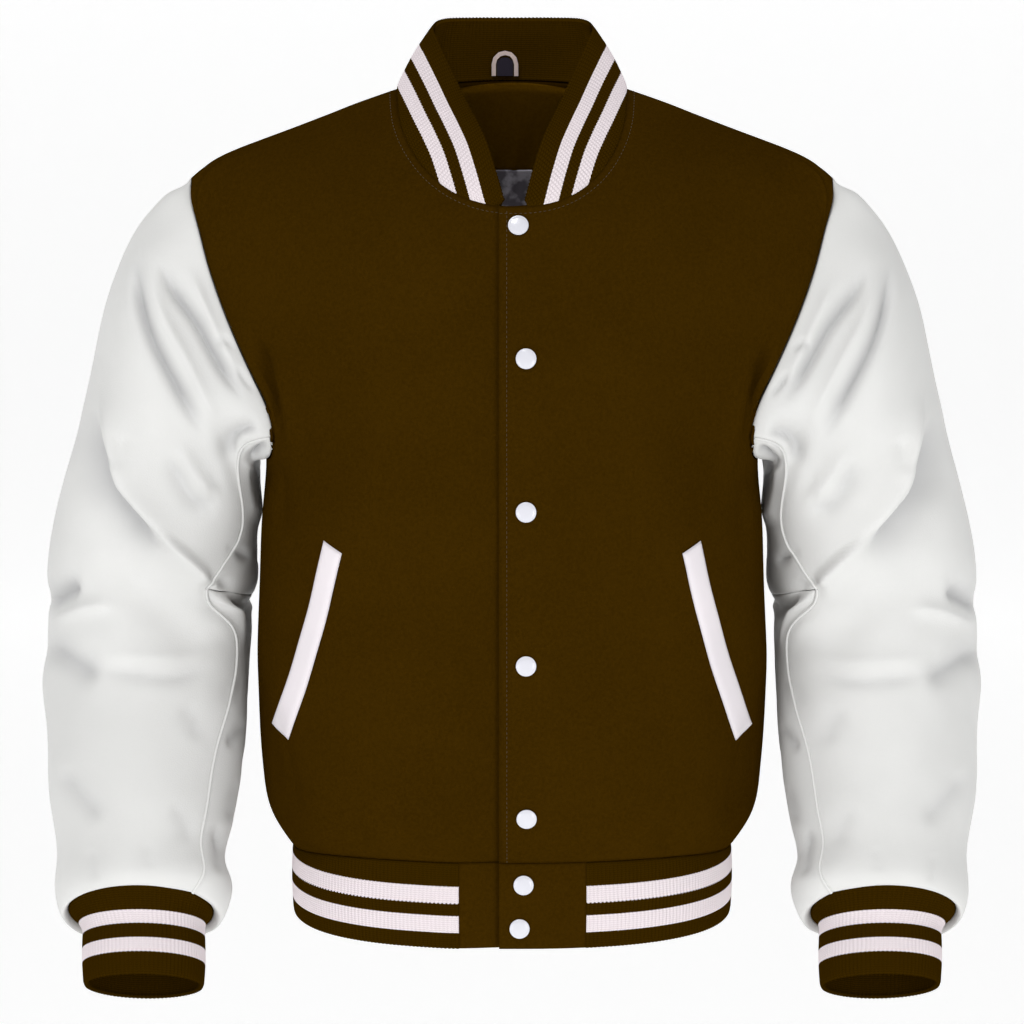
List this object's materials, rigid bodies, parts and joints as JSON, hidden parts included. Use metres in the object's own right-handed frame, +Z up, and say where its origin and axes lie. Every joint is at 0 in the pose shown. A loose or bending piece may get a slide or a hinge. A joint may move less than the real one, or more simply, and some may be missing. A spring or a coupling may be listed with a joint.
{
  "type": "varsity jacket",
  "caption": "Snap-front varsity jacket with a wool body, leather sleeves, welt pockets, and striped rib knit at the collar, cuffs and hem, filled out as worn.",
  "frame": {"origin": "between the shoulders on the wearer's centre line, level with the points where the shoulder seams meet the collar", "axes": "+Z up, the front faces -Y, +X is the wearer's left"},
  "size_m": [0.736, 0.2894, 0.7525],
  "materials": {
    "leather": "soft grained white leather with a low sheen",
    "rib_knit": "ribbed knit, dark brown with two white stripes",
    "wool": "brushed melton wool, matt",
    "welt_leather": "smooth white leather strip",
    "snap": "white snap cap",
    "lining": "dark satin",
    "loop_tape": "pale woven tape",
    "label": "dark woven patch, left plain"
  },
  "bodies": {
    "root": {"sleeve_top_left": "leather", "sleeve_under_upper_left": "leather", "sleeve_under_lower_left": "leather", "sleeve_top_right": "leather", "sleeve_under_upper_right": "leather", "sleeve_under_lower_right": "leather", "hem_rib": "rib_knit", "hem_tab_left": "wool", "hem_tab_right": "wool", "collar": "rib_knit", "cuff_left": "rib_knit", "cuff_right": "rib_knit", "front_left": "wool", "front_right": "wool", "back": "wool", "pocket_welt_left": "welt_leather", "pocket_welt_right": "welt_leather", "snap_1": "snap", "snap_2": "snap", "snap_3": "snap", "snap_4": "snap", "snap_5": "snap", "snap_6": "snap", "snap_7": "snap", "back_neck_facing": "wool", "back_lining": "lining", "hanger_loop": "loop_tape", "neck_label": "label"}
  },
  "joints": []
}
